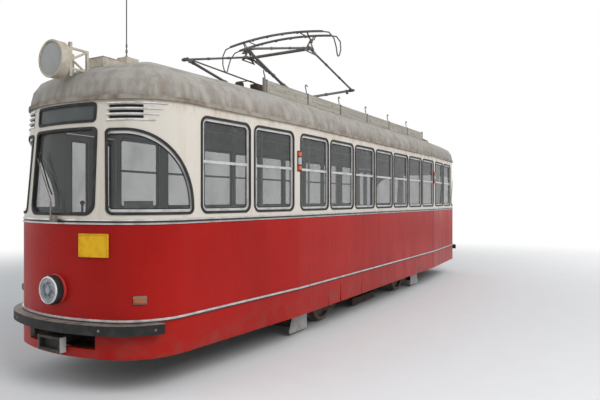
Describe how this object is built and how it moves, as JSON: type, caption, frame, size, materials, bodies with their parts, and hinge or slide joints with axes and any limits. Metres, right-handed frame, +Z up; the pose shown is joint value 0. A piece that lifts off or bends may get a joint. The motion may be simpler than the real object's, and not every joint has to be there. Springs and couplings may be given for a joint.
{
  "type": "tram",
  "caption": "Two-axle one-way urban tram with tapered round ends, folding doors on the right side and a diamond pantograph over the front axle.",
  "frame": {"origin": "centre of the car's footprint, at the height of the wheel flanges' tips on which it stands", "axes": "+X towards the cab end, +Y towards the car's left side, which has no doors, +Z up"},
  "size_m": [11.448, 2.42, 4.4748],
  "materials": {
    "alloy": "satin",
    "body_red": "gloss",
    "bumper_rubber": "matte",
    "chrome": "polished",
    "cream": "satin",
    "floor": "matte",
    "glass": "clear",
    "grey_paint": "matte",
    "insulator": "glazed",
    "lamp_orange": "gloss",
    "panto_steel": "worn matte",
    "plate_yellow": "gloss",
    "roof_grey": "weathered matte",
    "rubber": "matte",
    "seat_plastic": "satin",
    "sign_white": "satin",
    "under_steel": "rusty matte",
    "wheel_steel": "worn",
    "wood": "flaking paint"
  },
  "bodies": {
    "car_body": {"axle_guards": "under_steel", "belt_trim": "chrome", "brake_gear": "under_steel", "brake_hangers": "under_steel", "bumpers": "bumper_rubber", "centre_sills": "under_steel", "couplers": "under_steel", "cross_members": "under_steel", "door_steps": "floor", "driver_desk": "grey_paint", "end_glazing": "glass", "floor_deck": "floor", "floor_right": "floor", "front_end_shell": "body_red", "grab_poles": "alloy", "guard_boards": "grey_paint", "headlight": "chrome", "headlight_lens": "glass", "leaf_springs": "under_steel", "left_side_wall": "body_red", "lifeguards": "grey_paint", "lower_moulding": "chrome", "number_plate": "plate_yellow", "pantograph_base": "panto_steel", "pantograph_insulators": "insulator", "rear_end_shell": "body_red", "right_side_wall": "body_red", "roof_antenna": "grey_paint", "roof_boards": "wood", "roof_disc_sign": "grey_paint", "roof_gutter": "cream", "roof_shell": "roof_grey", "seat_backs": "seat_plastic", "seat_cushions": "seat_plastic", "seat_frames": "under_steel", "side_glazing": "glass", "sign_panels": "sign_white", "signal_lamps": "lamp_orange", "skirt_flaps": "body_red", "track_brakes": "under_steel", "traction_motors": "under_steel", "underframe": "under_steel", "vent_strips": "chrome", "window_frames": "alloy", "window_gaskets": "rubber"},
    "front_wheelset": {"front_wheelset": "wheel_steel"},
    "rear_wheelset": {"rear_wheelset": "wheel_steel"},
    "front_door_a": {"front_door_leaf_a": "body_red", "front_door_glass_a": "glass"},
    "front_door_b": {"front_door_leaf_b": "body_red", "front_door_glass_b": "glass"},
    "rear_door_a": {"rear_door_leaf_a": "body_red", "rear_door_glass_a": "glass"},
    "rear_door_b": {"rear_door_leaf_b": "body_red", "rear_door_glass_b": "glass"},
    "pantograph_lower_front": {"pantograph_lower_front": "panto_steel"},
    "pantograph_lower_rear": {"pantograph_lower_rear": "panto_steel"},
    "pantograph_upper_front": {"pantograph_upper_front": "panto_steel"},
    "pantograph_upper_rear": {"pantograph_upper_rear": "panto_steel"},
    "pantograph_head": {"pantograph_head": "panto_steel"}
  },
  "joints": [
    {"name": "front_axle_spin", "type": "hinge", "parent": "car_body", "child": "front_wheelset", "pos_m": [1.625, 0, 0.358], "axis": [0, 1, 0], "continuous": true},
    {"name": "rear_axle_spin", "type": "hinge", "parent": "car_body", "child": "rear_wheelset", "pos_m": [-1.625, 0, 0.358], "axis": [0, 1, 0], "continuous": true},
    {"name": "front_door_swing", "type": "hinge", "parent": "car_body", "child": "front_door_a", "pos_m": [3.9684, -1.09063, 0.4], "axis": [0, 0, -1], "range_deg": [0, 82]},
    {"name": "front_door_fold", "type": "hinge", "parent": "front_door_a", "child": "front_door_b", "pos_m": [4.33836, -1.04185, 0.4], "axis": [0, 0, -1], "range_deg": [-164, 0]},
    {"name": "rear_door_swing", "type": "hinge", "parent": "car_body", "child": "rear_door_a", "pos_m": [-3.9684, -1.09063, 0.4], "axis": [0, 0, 1], "range_deg": [0, 82]},
    {"name": "rear_door_fold", "type": "hinge", "parent": "rear_door_a", "child": "rear_door_b", "pos_m": [-4.33836, -1.04185, 0.4], "axis": [0, 0, 1], "range_deg": [-164, 0]},
    {"name": "pantograph_raise", "type": "hinge", "parent": "car_body", "child": "pantograph_lower_front", "pos_m": [1.644, 0, 3.45], "axis": [0, -1, 0], "range_deg": [-8.81, 42.19]},
    {"name": "pantograph_rear_base", "type": "hinge", "parent": "car_body", "child": "pantograph_lower_rear", "pos_m": [1.524, 0, 3.45], "axis": [0, 1, 0], "range_deg": [-8.81, 42.19]},
    {"name": "pantograph_front_knee", "type": "hinge", "parent": "pantograph_lower_front", "child": "pantograph_upper_front", "pos_m": [3.17, 0, 3.825], "axis": [0, -1, 0], "range_deg": [-84.38, 17.62]},
    {"name": "pantograph_rear_knee", "type": "hinge", "parent": "pantograph_lower_rear", "child": "pantograph_upper_rear", "pos_m": [-0.002, 0, 3.825], "axis": [0, 1, 0], "range_deg": [-84.38, 17.62]},
    {"name": "pantograph_head_pivot", "type": "hinge", "parent": "pantograph_upper_front", "child": "pantograph_head", "pos_m": [1.644, 0, 4.2], "axis": [0, -1, 0], "range_deg": [-8.81, 42.19]}
  ],
  "couplings": [
    {"joint": "front_door_fold", "follows": "front_door_swing", "ratio": -2},
    {"joint": "rear_door_fold", "follows": "rear_door_swing", "ratio": -2},
    {"joint": "pantograph_rear_base", "follows": "pantograph_raise", "ratio": 1},
    {"joint": "pantograph_front_knee", "follows": "pantograph_raise", "ratio": -2},
    {"joint": "pantograph_rear_knee", "follows": "pantograph_raise", "ratio": -2},
    {"joint": "pantograph_head_pivot", "follows": "pantograph_raise", "ratio": 1}
  ]
}
